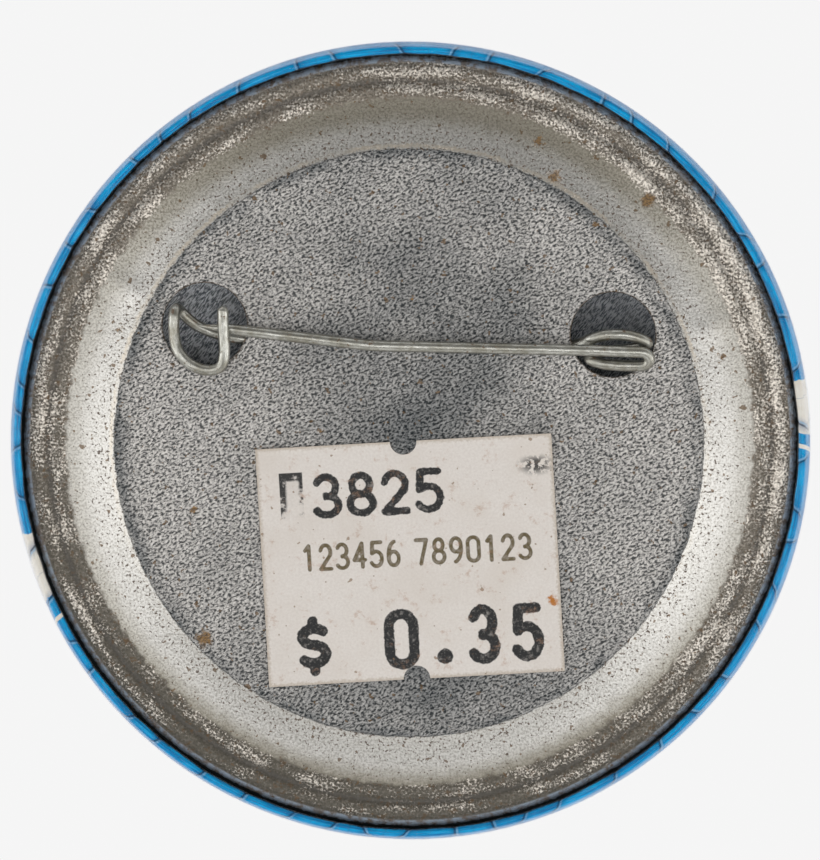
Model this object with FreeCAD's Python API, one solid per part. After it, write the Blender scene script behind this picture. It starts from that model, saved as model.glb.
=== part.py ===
"""A 57 mm pin-back button badge, lying on its domed face with its back upwards.

Millimetres, +Z out of the back, origin at the lowest point of the dome, under the badge's centre.
X runs along the pin, from the catch (-X) to the spring coil (+X).
"""
import FreeCAD, Part

import math
import os

V = FreeCAD.Vector
Z_AXIS = V(0, 0, 1)

# ---- the badge as a whole ----
BADGE_RADIUS = 28.575           # a 2 1/4 inch button
CROWN_RADIUS = 5.0              # the face is flat this far out, which is what it rests on
DOME_RADIUS = 100.0             # from the crown the face curves up with this radius
SHOULDER_RADIUS = 2.0           # from the face round to the side
WALL_LEAN = math.radians(18.0)  # the side leans in towards the back
WALL_RUN = 0.70                 # straight part of the side

# ---- the three skins of the front, from the outside inwards ----
FILM_THICK = 0.06
PAPER_THICK = 0.10
SHELL_THICK = 0.24
SKIN_GAP = 0.02                 # room between one skin and the next
FILM_TUCK = 0.72                # how far the film runs down inside the rim
PAPER_TUCK = 0.60

# ---- back plate ----
PLATE_THICK = 0.28
PLATEAU_TOP = 6.20              # height of the flat middle
PLATEAU_RADIUS = 20.98
PLATEAU_EDGE = [(20.76, 0.00), (20.92, 0.02), (21.06, 0.08)]    # radius, depth under the plateau
BEVEL = [(21.06, 0.08), (22.80, 0.70), (24.60, 1.04)]
INNER_BEAD = [(24.60, 1.04), (25.05, 0.94), (25.50, 1.10)]
GROOVE = [(25.50, 1.10), (25.75, 1.20), (26.00, 1.10)]
OUTER_BEAD = [(26.00, 1.10), (26.48, 0.96), (26.98, 1.10)]
SKIRT_BEND = [(26.98, 1.10), (27.32, 1.24), (27.46, 1.50)]
SKIRT_FOOT = (27.78, 1.88)
INNER_SKIRT = [(26.98, 1.38), (27.18, 1.58), (27.59, 2.03)]
WINDOW_RADIUS = 3.0
CATCH_WINDOW = V(-14.5, 8.4, 0)
COIL_WINDOW = V(14.5, 7.8, 0)

# ---- pin, one bent spring wire ----
WIRE_RADIUS = 0.40
BAR_HEIGHT = PLATEAU_TOP - PLATE_THICK - WIRE_RADIUS - 0.07   # the bar runs close under the plate
ARM_HEIGHT = 7.20
HINGE_POINT = V(12.30, 6.75, ARM_HEIGHT)
HINGE_GAP = 0.03                # between the arm's round root and the coil's end
POINT_LENGTH = 2.65             # tapered point of the arm
POINT_END_RADIUS = 0.06
BAR_LEFT = V(-10.0, 7.20, BAR_HEIGHT)
BAR_RIGHT = V(9.0, 6.95, BAR_HEIGHT)

# ---- price label ----
LABEL_WIDTH = 21.1
LABEL_HEIGHT = 17.0
LABEL_THICK = 0.12
GLUE_THICK = 0.04
GLUE_INSET = 0.35
LABEL_CENTRE = V(0.10, -8.30, 0)
LABEL_TURN = 3.35               # degrees, anticlockwise seen from the back
NOTCH_RADIUS = 0.95

FOLD_RADIUS = FILM_THICK + PAPER_THICK + 2 * SKIN_GAP + SHELL_THICK / 2


def save(name, shape):
    """Writes one sub-part, after checking that it is made of closed solids."""
    assert shape.isValid() and shape.Solids, name
    shape.exportStep(f"parts/{name}.step")
    box = shape.optimalBoundingBox()
    print(f"{name:16} {shape.Volume:9.3f} mm3   z {box.ZMin:.3f} to {box.ZMax:.3f}")


def arc(a, middle, b):
    return Part.Arc(a, middle, b).toShape()


def line(a, b):
    return Part.LineSegment(a, b).toShape()


def rz(r, z):
    """A point of a turned outline: radius and height."""
    return V(r, 0, z)


def spun(edges):
    """The closed outline turned all the way round the badge's axis."""
    face = Part.Face(Part.Wire(Part.__sortEdges__(edges)))
    return face.revolve(V(0, 0, 0), Z_AXIS, 360)


# ---- skins ----

class Skin:
    """One surface of the front, a given depth inside the film's outer face."""

    def __init__(self, depth):
        self.depth = depth
        shoulder_r = BADGE_RADIUS - SHOULDER_RADIUS
        self.tilt = math.asin((shoulder_r - CROWN_RADIUS) / (DOME_RADIUS - SHOULDER_RADIUS))
        shoulder_z = DOME_RADIUS - (DOME_RADIUS - SHOULDER_RADIUS) * math.cos(self.tilt)
        self.shoulder = rz(shoulder_r, shoulder_z)
        self.outward = rz(math.cos(WALL_LEAN), math.sin(WALL_LEAN))
        self.upward = rz(-math.sin(WALL_LEAN), math.cos(WALL_LEAN))
        wall_foot = self.shoulder + self.outward * SHOULDER_RADIUS
        self.fold = wall_foot + self.upward * WALL_RUN - self.outward * FOLD_RADIUS

    def on_dome(self, angle):
        r = DOME_RADIUS - self.depth
        return rz(CROWN_RADIUS + r * math.sin(angle), DOME_RADIUS - r * math.cos(angle))

    def on_axis(self):
        return rz(0, self.depth)

    def on_shoulder(self, angle):
        r = SHOULDER_RADIUS - self.depth
        return self.shoulder + rz(math.cos(angle), math.sin(angle)) * r

    def face_edges(self):
        """From the axis over the crown, dome and shoulder to the foot of the side."""
        low = self.tilt - math.pi / 2
        return [
            line(self.on_axis(), self.on_dome(0)),
            arc(self.on_dome(0), self.on_dome(self.tilt / 2), self.on_dome(self.tilt)),
            arc(self.on_shoulder(low), self.on_shoulder((low + WALL_LEAN) / 2), self.wall_foot()),
        ]

    def wall_foot(self):
        return self.on_shoulder(WALL_LEAN)

    def fold_side(self, side):
        """Where the fold meets the side (+1) or the tuck inside the rim (-1)."""
        return self.fold + self.outward * (side * (FOLD_RADIUS - self.depth))

    def fold_top(self):
        return self.fold + self.upward * (FOLD_RADIUS - self.depth)

    def tuck_end(self, length):
        return self.fold_side(-1) - self.upward * length

    def folded_edges(self, tuck):
        return self.face_edges() + [
            line(self.wall_foot(), self.fold_side(1)),
            arc(self.fold_side(1), self.fold_top(), self.fold_side(-1)),
            line(self.fold_side(-1), self.tuck_end(tuck)),
        ]


def folded_skin(depth, thick, tuck):
    """A sheet laid over the face, folded over the rim and tucked in."""
    outer, inner = Skin(depth), Skin(depth + thick)
    edges = outer.folded_edges(tuck) + inner.folded_edges(tuck)
    edges.append(line(outer.tuck_end(tuck), inner.tuck_end(tuck)))
    edges.append(line(outer.on_axis(), inner.on_axis()))
    return spun(edges)


def front_shell(depth):
    """The tinplate cup, whose raw edge is rounded inside the folded skins."""
    outer, inner = Skin(depth), Skin(depth + SHELL_THICK)
    edge_in = outer.fold_side(-1)
    edges = outer.face_edges() + inner.face_edges() + [
        line(outer.wall_foot(), outer.fold_side(1)),
        arc(outer.fold_side(1), outer.fold_top(), edge_in),
        line(edge_in, inner.wall_foot()),
        line(outer.on_axis(), inner.on_axis()),
    ]
    return spun(edges)


# ---- back plate ----

def plate_point(section_point, drop=0.0):
    """A point of the plate's section, given as radius and depth under the plateau."""
    return rz(section_point[0], PLATEAU_TOP - drop - section_point[1])


def plate_outline(drop):
    """The plate's section from the axis to the outer bead's far side, lowered by drop."""
    centre = plate_point((0, 0), drop)
    edges = [line(centre, plate_point(PLATEAU_EDGE[0], drop))]
    for curve in (PLATEAU_EDGE, BEVEL, INNER_BEAD, GROOVE, OUTER_BEAD):
        edges.append(arc(*[plate_point(p, drop) for p in curve]))
    return edges


def back_plate():
    """Stamped disc: flat middle, bevel, two beads and a skirt that flares out inside the rim."""
    bend = [plate_point(p) for p in SKIRT_BEND]
    foot = plate_point(SKIRT_FOOT)
    inner = [plate_point(p) for p in INNER_SKIRT]
    edges = plate_outline(0) + plate_outline(PLATE_THICK)
    edges.append(arc(*bend))
    edges.append(line(bend[-1], foot))
    edges.append(line(foot, inner[2]))
    edges.append(line(inner[2], inner[1]))
    edges.append(line(inner[1], inner[0]))
    edges.append(line(plate_point((0, 0)), plate_point((0, 0), PLATE_THICK)))
    plate = spun(edges)
    punch = V(0, 0, PLATEAU_TOP - 2 * PLATE_THICK)
    for window in (CATCH_WINDOW, COIL_WINDOW):
        plate = plate.cut(Part.makeCylinder(WINDOW_RADIUS, 3 * PLATE_THICK, window + punch))
    return plate


# ---- bent wire ----

def wire_disc(centre, direction):
    return Part.Face(Part.Wire(Part.Circle(centre, direction, WIRE_RADIUS).toShape()))


def bent_wire(route, name, radii=None):
    """Round wire along straight runs joined by tangent bends. radii gives chosen bend radii by corner."""
    radii = radii or {}
    pieces = []
    start = route[0]
    bends = []
    for i in range(1, len(route) - 1):
        before, after = route[i] - route[i - 1], route[i + 1] - route[i]
        d1, d2 = V(before).normalize(), V(after).normalize()
        turn = d1.getAngle(d2)
        reach = 0.45 * min(before.Length, after.Length)
        if i in radii:
            reach = radii[i] * math.tan(turn / 2)
        bend = reach / math.tan(turn / 2)
        bends.append(bend)
        bend_start = route[i] - d1 * reach
        axis = d1.cross(d2).normalize()
        centre = bend_start + axis.cross(d1) * bend
        pieces.append(wire_disc(start, d1).extrude(bend_start - start))
        pieces.append(wire_disc(bend_start, d1).revolve(centre, axis, math.degrees(turn)))
        start = route[i] + d2 * reach
    last = route[-1] - start
    pieces.append(wire_disc(start, last).extrude(last))
    print(f"{name}: bend radii", " ".join(f"{b:.2f}" for b in bends))
    assert min(bends) > WIRE_RADIUS * 1.05, name
    return pieces[0].multiFuse(pieces[1:]).removeSplitter()


def wire_ball(centre):
    return Part.makeSphere(WIRE_RADIUS, centre)


BAR_ROUTE = [BAR_LEFT, V(-3.0, 7.02, BAR_HEIGHT), BAR_RIGHT]

HOOK_ROUTE = [
    BAR_LEFT,
    V(-12.40, 7.42, BAR_HEIGHT),
    V(-13.95, 7.80, BAR_HEIGHT + 0.10),
    V(-15.25, 8.40, BAR_HEIGHT + 0.45),
    V(-16.22, 9.35, BAR_HEIGHT + 0.60),
    V(-16.40, 9.60, BAR_HEIGHT + 0.90),
    V(-16.52, 9.62, BAR_HEIGHT + 1.36),
    V(-16.62, 9.28, BAR_HEIGHT + 1.72),
    V(-16.66, 8.20, BAR_HEIGHT + 1.70),
    V(-16.50, 6.75, BAR_HEIGHT + 1.75),
    V(-15.55, 5.65, BAR_HEIGHT + 1.85),
    V(-14.25, 5.20, BAR_HEIGHT + 2.00),
    V(-13.20, 5.45, BAR_HEIGHT + 2.20),
    V(-12.96, 6.60, BAR_HEIGHT + 2.45),
    V(-13.08, 8.20, ARM_HEIGHT + 2 * WIRE_RADIUS + 0.10),
    V(-13.08, 9.50, ARM_HEIGHT + 2 * WIRE_RADIUS + 0.32),
]

COIL_ROUTE = [
    BAR_RIGHT,
    V(12.00, 6.99, BAR_HEIGHT),
    V(13.05, 7.56, BAR_HEIGHT + 1.15),
    V(14.10, 7.86, BAR_HEIGHT + 1.48),
    V(15.60, 7.82, BAR_HEIGHT + 1.50),
    V(16.66, 7.50, BAR_HEIGHT + 1.36),
    V(16.98, 7.24, BAR_HEIGHT + 1.02),
    V(16.92, 7.05, BAR_HEIGHT + 0.50),
    V(16.58, 6.90, BAR_HEIGHT),
    V(15.60, 6.70, BAR_HEIGHT - 0.35),
    V(13.60, 6.50, BAR_HEIGHT - 0.35),
    V(12.96, 6.32, BAR_HEIGHT - 0.15),
    V(12.68, 6.12, BAR_HEIGHT + 0.34),
    V(12.96, 5.96, BAR_HEIGHT + 0.92),
    V(13.80, 5.72, BAR_HEIGHT + 1.16),
    V(15.20, 5.62, BAR_HEIGHT + 1.23),
    V(16.87, 5.62, BAR_HEIGHT + 1.25),
    V(17.19, 6.115, BAR_HEIGHT + 1.50),
    V(16.87, 6.61, ARM_HEIGHT),
    HINGE_POINT + V(WIRE_RADIUS + HINGE_GAP, -0.008, 0),
]

ARM_ROUTE = [
    HINGE_POINT,
    V(-2.60, 7.03, ARM_HEIGHT),
    V(-14.84, 8.42, ARM_HEIGHT),
]


def pin_arm():
    """Straight arm with one slight bend, a ball-shaped root at the hinge and a bullet-shaped point."""
    tip = ARM_ROUTE[-1]
    along = (tip - ARM_ROUTE[1]).normalize()
    neck = tip - along * POINT_LENGTH
    arm = bent_wire(ARM_ROUTE[:2] + [neck], "pin_arm", {1: 18.0})
    end = V(POINT_END_RADIUS, 0, POINT_LENGTH)
    middle = V(0.72 * WIRE_RADIUS, 0, 0.55 * POINT_LENGTH)
    outline = [
        line(V(0, 0, 0), V(WIRE_RADIUS, 0, 0)),
        arc(V(WIRE_RADIUS, 0, 0), middle, end),
        line(end, V(0, 0, POINT_LENGTH)),
        line(V(0, 0, POINT_LENGTH), V(0, 0, 0)),
    ]
    point = spun(outline)
    point.Placement = FreeCAD.Placement(neck, FreeCAD.Rotation(Z_AXIS, along))
    return arm.multiFuse([point, wire_ball(HINGE_POINT)]).removeSplitter()


def catch_hook():
    """The wire's other end, an open hook with a rounded free end over the arm."""
    return bent_wire(HOOK_ROUTE, "catch_hook").fuse(wire_ball(HOOK_ROUTE[-1])).removeSplitter()


# ---- label ----

def notched_sheet(inset, bottom, thick):
    """The label's outline, inset all round, with its two half-round notches."""
    w, h = LABEL_WIDTH / 2 - inset, LABEL_HEIGHT / 2 - inset
    sheet = Part.makeBox(2 * w, 2 * h, thick, V(-w, -h, bottom))
    for side in (-1, 1):
        notch_centre = V(0, side * LABEL_HEIGHT / 2, bottom - 1)
        sheet = sheet.cut(Part.makeCylinder(NOTCH_RADIUS + inset, thick + 2, notch_centre))
    sheet.Placement = FreeCAD.Placement(LABEL_CENTRE, FreeCAD.Rotation(Z_AXIS, LABEL_TURN))
    return sheet


def main():
    os.makedirs("parts", exist_ok=True)
    paper_depth = FILM_THICK + SKIN_GAP
    shell_depth = paper_depth + PAPER_THICK + SKIN_GAP
    save("clear_film", folded_skin(0, FILM_THICK, FILM_TUCK))
    save("printed_paper", folded_skin(paper_depth, PAPER_THICK, PAPER_TUCK))
    save("front_shell", front_shell(shell_depth))
    save("back_plate", back_plate())
    save("base_bar", bent_wire(BAR_ROUTE, "base_bar", {1: 60.0}))
    save("catch_hook", catch_hook())
    save("spring_coil", bent_wire(COIL_ROUTE, "spring_coil"))
    save("pin_arm", pin_arm())
    glue_top = PLATEAU_TOP + GLUE_THICK
    save("label_adhesive", notched_sheet(GLUE_INSET, PLATEAU_TOP, GLUE_THICK))
    save("price_label", notched_sheet(0, glue_top, LABEL_THICK))


main()
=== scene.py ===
"""Looks of a pin-back button badge: tin back plate, folded rim, bent wire pin, price label.

Lengths are in millimetres until a mesh is made. X runs along the pin, from the catch (-X) to the
spring coil (+X), and the badge's back faces +Z.
"""

import math

import bmesh
import bpy
import numpy as np
from mathutils import Matrix, Vector
from mathutils.geometry import delaunay_2d_cdt


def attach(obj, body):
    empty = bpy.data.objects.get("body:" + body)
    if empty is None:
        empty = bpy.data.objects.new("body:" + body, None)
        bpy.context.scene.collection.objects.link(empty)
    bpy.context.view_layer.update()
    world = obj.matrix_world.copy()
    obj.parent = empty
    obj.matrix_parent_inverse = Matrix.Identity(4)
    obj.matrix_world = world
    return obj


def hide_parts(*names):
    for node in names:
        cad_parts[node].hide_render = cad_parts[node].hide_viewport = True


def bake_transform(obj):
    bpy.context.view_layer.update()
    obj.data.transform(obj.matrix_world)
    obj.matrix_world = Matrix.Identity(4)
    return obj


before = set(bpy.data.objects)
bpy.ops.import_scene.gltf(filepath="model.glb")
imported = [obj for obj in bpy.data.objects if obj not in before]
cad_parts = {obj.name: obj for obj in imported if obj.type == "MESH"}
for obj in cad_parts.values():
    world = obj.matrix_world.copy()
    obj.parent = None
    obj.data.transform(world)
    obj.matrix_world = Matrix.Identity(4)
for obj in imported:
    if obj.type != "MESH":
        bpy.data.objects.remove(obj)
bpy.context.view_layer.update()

MM = 0.001
TAU = 2 * math.pi
SEED = 20

# ---- the badge, as the CAD part has it ----
BADGE_RADIUS = 28.575
CROWN_RADIUS = 5.0
DOME_RADIUS = 100.0
SHOULDER_RADIUS = 2.0
WALL_LEAN = math.radians(18.0)
WALL_RUN = 0.70
FOLD_RADIUS = 0.32
# how deep a skin's two surfaces lie, its length in the tuck, and the sway of its edge there
FILM = (0.0, 0.06, 0.72, 0.08)
PAPER = (0.08, 0.18, 0.60, 0.10)
SHELL_OUTSIDE, SHELL_INSIDE = 0.26, 0.44

PLATEAU_TOP = 6.20
PLATE_THICK = 0.28
WINDOW_RADIUS = 3.0
WINDOWS = [(-14.5, 8.4), (14.5, 7.8)]
# the plate's section: radius, depth under the plateau
PLATE_CURVES = [
    [(20.76, 0.00), (20.92, 0.02), (21.06, 0.08)],
    [(21.06, 0.08), (22.80, 0.70), (24.60, 1.04)],
    [(24.60, 1.04), (25.05, 0.94), (25.50, 1.10)],
    [(25.50, 1.10), (25.75, 1.20), (26.00, 1.10)],
    [(26.00, 1.10), (26.48, 0.96), (26.98, 1.10)],
]
PLATE_SKIRT = [(26.98, 1.10), (27.32, 1.24), (27.46, 1.50)]
PLATE_SKIRT_FOOT = [(27.78, 1.88), (27.59, 2.03), (27.18, 1.58)]

WIRE_RADIUS = 0.40
BAR = 5.45
ARM = 7.20
BAR_ROUTE = [(-10.0, 7.20, BAR), (-3.0, 7.02, BAR), (9.0, 6.95, BAR)]
HOOK_ROUTE = [
    (-10.0, 7.20, BAR), (-12.40, 7.42, BAR), (-13.95, 7.80, BAR + 0.10), (-15.25, 8.40, BAR + 0.45),
    (-16.22, 9.35, BAR + 0.60), (-16.40, 9.60, BAR + 0.90), (-16.52, 9.62, BAR + 1.36),
    (-16.62, 9.28, BAR + 1.72), (-16.66, 8.20, BAR + 1.70), (-16.50, 6.75, BAR + 1.75),
    (-15.55, 5.65, BAR + 1.85), (-14.25, 5.20, BAR + 2.00), (-13.20, 5.45, BAR + 2.20),
    (-12.96, 6.60, BAR + 2.45), (-13.08, 8.20, ARM + 0.90), (-13.08, 9.50, ARM + 1.12),
]
COIL_ROUTE = [
    (9.0, 6.95, BAR), (12.00, 6.99, BAR), (13.05, 7.56, BAR + 1.15), (14.10, 7.86, BAR + 1.48),
    (15.60, 7.82, BAR + 1.50), (16.66, 7.50, BAR + 1.36), (16.98, 7.24, BAR + 1.02),
    (16.92, 7.05, BAR + 0.50), (16.58, 6.90, BAR), (15.60, 6.70, BAR - 0.35),
    (13.60, 6.50, BAR - 0.35), (12.96, 6.32, BAR - 0.15), (12.68, 6.12, BAR + 0.34),
    (12.96, 5.96, BAR + 0.92), (13.80, 5.72, BAR + 1.16), (15.20, 5.62, BAR + 1.23),
    (16.87, 5.62, BAR + 1.25), (17.19, 6.115, BAR + 1.50), (16.87, 6.61, ARM), (12.73, 6.742, ARM),
]
HINGE_POINT = (12.30, 6.75, ARM)
ARM_ROUTE = [HINGE_POINT, (-2.60, 7.03, ARM), (-14.84, 8.42, ARM)]
POINT_LENGTH = 2.65
POINT_END_RADIUS = 0.06

LABEL_SIZE = (21.1, 17.0)
LABEL_CENTRE = (0.10, -8.30)
LABEL_TURN = math.radians(3.35)
LABEL_BOTTOM, LABEL_TOP = 6.24, 6.36
LABEL_MESH = 0.14
NOTCH_RADIUS = 0.95


# ---- small sums ----

def unit(v):
    return v / np.linalg.norm(v)


def heading(angle):
    """The flat unit vector at the angle, or at each of many."""
    return np.stack([np.cos(angle), np.sin(angle)], -1)


def smoothstep(x, low, high):
    t = np.clip((x - low) / (high - low), 0.0, 1.0)
    return t * t * (3 - 2 * t)


def arc_points(a, middle, b, count):
    """count + 1 points of a section on the short arc from a to b, by way of the middle."""
    a, b = np.array(a), np.array(b)
    sides = np.array([middle - a, b - a])
    centre = a + np.linalg.solve(2 * sides, (sides ** 2).sum(1))
    start, end = (math.atan2(*(p - centre)[::-1]) for p in (a, b))
    turn = (end - start + math.pi) % TAU - math.pi
    angles = start + turn * np.linspace(0, 1, count + 1)
    return centre + np.linalg.norm(a - centre) * heading(angles)


def way_along(points):
    """How far each point is along the line through them."""
    return np.concatenate([[0], np.cumsum(np.linalg.norm(np.diff(points, axis=0), axis=1))])


def ring_noise(angles, slowest, fastest, rng):
    """Smooth noise round a circle, about -1 to 1, with slowest to fastest waves a turn."""
    waves = np.arange(slowest, fastest + 1)
    phase = rng.uniform(0, TAU, len(waves))
    size = rng.uniform(0.5, 1.0, len(waves))
    total = (size[:, None] * np.cos(waves[:, None] * angles[None, :] + phase[:, None])).sum(0)
    return total / np.abs(total).max()


def noise_field(side_mm, cells, low_mm, high_mm, seed):
    """Square noise map, mean 0 and deviation 1, holding only waves from low_mm to high_mm long."""
    rng = np.random.default_rng(seed)
    spectrum = np.fft.rfft2(rng.standard_normal((cells, cells)))
    fy = np.fft.fftfreq(cells, side_mm / cells)[:, None]
    fx = np.fft.rfftfreq(cells, side_mm / cells)[None, :]
    f = np.hypot(fx, fy)
    keep = (f > 1 / high_mm) & (f < 1 / low_mm)
    field = np.fft.irfft2(spectrum * keep, s=(cells, cells))
    return field / field.std()


def sampled(field, side_mm, x, y):
    """The map's value at points about its middle, between cells."""
    cells = len(field)
    u = (x / side_mm + 0.5) * cells
    v = (y / side_mm + 0.5) * cells
    iu, iv = np.floor(u).astype(int), np.floor(v).astype(int)
    fu, fv = u - iu, v - iv
    iu, iv = iu % cells, iv % cells
    ju, jv = (iu + 1) % cells, (iv + 1) % cells
    low = field[iv, iu] * (1 - fu) + field[iv, ju] * fu
    high = field[jv, iu] * (1 - fu) + field[jv, ju] * fu
    return low * (1 - fv) + high * fv


# ---- meshes ----

def placed(name, data):
    """A new object in the scene."""
    obj = bpy.data.objects.new(name, data)
    bpy.context.scene.collection.objects.link(obj)
    return obj


def make_object(name, points, faces, body, sharp=40):
    """A closed mesh of the given faces, smooth but for edges sharper than sharp degrees."""
    mesh = bpy.data.meshes.new(name)
    corners = [face for part in faces for face in part.tolist()]
    mesh.from_pydata((np.asarray(points) * MM).tolist(), [], corners)
    work = bmesh.new()
    work.from_mesh(mesh)
    bmesh.ops.recalc_face_normals(work, faces=work.faces)
    work.to_mesh(mesh)
    work.free()
    mesh.polygons.foreach_set("use_smooth", np.ones(len(mesh.polygons), bool))
    mesh.set_sharp_from_angle(angle=math.radians(sharp))
    obj = placed(name, mesh)
    if body:
        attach(obj, body)
    return obj


def put(obj, **columns):
    """Keeps numbers for each point of the mesh, for its material to read."""
    for name, values in columns.items():
        attribute = obj.data.attributes.new(name, "FLOAT", "POINT")
        attribute.data.foreach_set("value", np.asarray(values, np.float32))


def ring_points(radius, angles, height):
    """Points round the badge's axis. Radius and height are numbers, or one for each angle."""
    return np.column_stack([radius * np.cos(angles), radius * np.sin(angles), height + 0 * angles])


def strip(a, b, around):
    """Quads between two closed rings of points that are numbered from a and from b."""
    j = np.arange(around)
    k = (j + 1) % around
    return np.stack([a + j, a + k, b + k, b + j], -1)


def ring_quads(rings, around, first=0):
    """Quads between closed rings of points that are numbered ring after ring."""
    starts = first + np.arange(rings) * around
    return np.concatenate([strip(a, b, around) for a, b in zip(starts[:-1], starts[1:])])


def closed_by_points(rings, first_z, last_z):
    """Points and faces of rings whose two ends are closed by fans to a point on the axis."""
    around = len(rings[0])
    count = len(rings) * around
    points = np.concatenate(rings + [[(0, 0, first_z), (0, 0, last_z)]])
    faces = [ring_quads(len(rings), around)]
    j = np.arange(around)
    k = (j + 1) % around
    for middle, ring in ((count, 0), (count + 1, count - around)):
        faces.append(np.stack([np.full(around, middle), ring + k, ring + j], -1))
    return points, faces


def inside(points, loop):
    """Which of the points lie inside the closed loop."""
    x, y = points[:, 0], points[:, 1]
    found = np.zeros(len(points), bool)
    for (ax, ay), (bx, by) in zip(loop, np.roll(loop, -1, 0)):
        if ay == by:
            continue
        crosses = (ay > y) != (by > y)
        found ^= crosses & (x < ax + (y - ay) * (bx - ax) / (by - ay))
    return found


def between(points, loops):
    """Which of the points lie inside the first loop and outside the others."""
    keep = inside(points, loops[0])
    for loop in loops[1:]:
        keep &= ~inside(points, loop)
    return keep


def flat_region(loops, spacing):
    """Points and triangles that fill the first loop less the others, the loops' points first."""
    border = np.concatenate(loops)
    low, high = border.min(0), border.max(0)
    row_gap = spacing * math.sqrt(3) / 2
    rows = []
    for n, y in enumerate(np.arange(low[1], high[1], row_gap)):
        x = np.arange(low[0] + (n % 2) * spacing / 2, high[0], spacing)
        rows.append(np.stack([x, np.full(len(x), y)], -1))
    lattice = np.concatenate(rows)
    lattice = lattice[between(lattice, loops)]
    clear = np.ones(len(lattice), bool)
    for point in border:
        clear &= ((lattice - point) ** 2).sum(1) > (0.55 * spacing) ** 2
    points = np.concatenate([border, lattice[clear]])
    edges = []
    first = 0
    for loop in loops:
        n = len(loop)
        edges += [(first + i, first + (i + 1) % n) for i in range(n)]
        first += n
    made = delaunay_2d_cdt([Vector(p) for p in points], edges, [], 0, 1e-7, True)
    origin = np.array([ids[0] for ids in made[3]])
    triangles = origin[np.array(made[2])]
    return points, triangles[between(points[triangles].mean(1), loops)]


def circle(radius, count, centre=(0.0, 0.0)):
    return centre + radius * heading(np.arange(count) * TAU / count)


# ---- back plate ----

PLATE_AROUND = 720
WINDOW_AROUND = 96
PLATE_MESH = 0.40        # size of the flat middle's triangles
SWAY = 0.010             # how far the plate is out of true
BUMPS = [(151.5, 0.9, 0.10), (21.0, 1.0, 0.10)]     # on the bevel: degrees, width, height
BURR = [(0.07, 0.0), (0.025, 0.018), (0.0, 0.06)]   # the punched edge: outside the window, depth


def plate_rings():
    """Radius and height of each ring, from the plateau's edge over the top and back underneath."""
    top = [np.array(PLATE_CURVES[0][:1])]
    for curve, count in zip(PLATE_CURVES, (5, 24, 9, 6, 10)):
        top.append(arc_points(*curve, count)[1:])
    skirt = arc_points(*PLATE_SKIRT, 7)[1:]
    upper = np.concatenate(top)
    under = upper[::-1] + (0, PLATE_THICK)
    section = np.concatenate([upper, skirt, np.array(PLATE_SKIRT_FOOT), under])
    section[:, 1] = PLATEAU_TOP - section[:, 1]
    return section


def back_plate():
    side = 64.0
    sway = noise_field(side, 512, 2.2, 9.0, SEED)
    loops = [circle(PLATE_CURVES[0][0][0], PLATE_AROUND)]
    for window in WINDOWS:
        loops.append(circle(WINDOW_RADIUS + BURR[0][0], WINDOW_AROUND, window))
    flat, triangles = flat_region(loops, PLATE_MESH)
    n = len(flat)
    upper = np.column_stack([flat, np.full(n, PLATEAU_TOP)])
    lower = np.column_stack([flat, np.full(n, PLATEAU_TOP - PLATE_THICK)])
    points, faces = [upper, lower], [triangles, triangles + n]
    count = 2 * n

    section = plate_rings()
    angles = np.arange(PLATE_AROUND) * TAU / PLATE_AROUND
    for r, z in section[1:-1]:
        points.append(ring_points(r, angles, z))
    rings = len(section) - 2
    faces.append(ring_quads(rings, PLATE_AROUND, count))
    last = count + (rings - 1) * PLATE_AROUND
    faces += [strip(0, count, PLATE_AROUND), strip(last, n, PLATE_AROUND)]
    count += rings * PLATE_AROUND

    first = PLATE_AROUND
    for window in WINDOWS:
        rim = first
        for proud, depth in BURR[1:]:
            ring = circle(WINDOW_RADIUS + proud, WINDOW_AROUND, window)
            points.append(np.column_stack([ring, np.full(WINDOW_AROUND, PLATEAU_TOP - depth)]))
            faces.append(strip(rim, count, WINDOW_AROUND))
            rim = count
            count += WINDOW_AROUND
        faces.append(strip(rim, n + first, WINDOW_AROUND))
        first += WINDOW_AROUND

    points = np.concatenate(points)
    x, y, _ = points.T
    r = np.hypot(x, y)
    height = SWAY * sampled(sway, side, x, y)
    height *= 1 - 0.5 * smoothstep(r, 20.0, 21.0)
    height = np.clip(height, -3 * SWAY, 3 * SWAY) * (1 - smoothstep(r, 26.8, 27.2))
    on_bevel = smoothstep(r, 21.2, 22.2) * (1 - smoothstep(r, 24.0, 25.2))
    for angle, width, rise in BUMPS:
        c, s = heading(math.radians(angle))
        ahead = points[:, :2] @ (c, s) > 0
        sideways = points[:, :2] @ (-s, c)
        height += ahead * on_bevel * rise * np.exp(-((sideways / width) ** 2))
    points[:, 2] += height
    obj = make_object("tin_plate", points, faces, "badge")
    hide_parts("back_plate")
    return obj


# ---- skins of the front ----

RIM_AROUND = 1200
SHOULDER_R = BADGE_RADIUS - SHOULDER_RADIUS
DOME_TILT = math.asin((SHOULDER_R - CROWN_RADIUS) / (DOME_RADIUS - SHOULDER_RADIUS))
SHOULDER_Z = DOME_RADIUS - (DOME_RADIUS - SHOULDER_RADIUS) * math.cos(DOME_TILT)
OUTWARD = heading(WALL_LEAN)
UPWARD = np.array([-OUTWARD[1], OUTWARD[0]])
SHOULDER = np.array([SHOULDER_R, SHOULDER_Z])
FOLD = SHOULDER + OUTWARD * (SHOULDER_RADIUS - FOLD_RADIUS) + UPWARD * WALL_RUN


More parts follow.
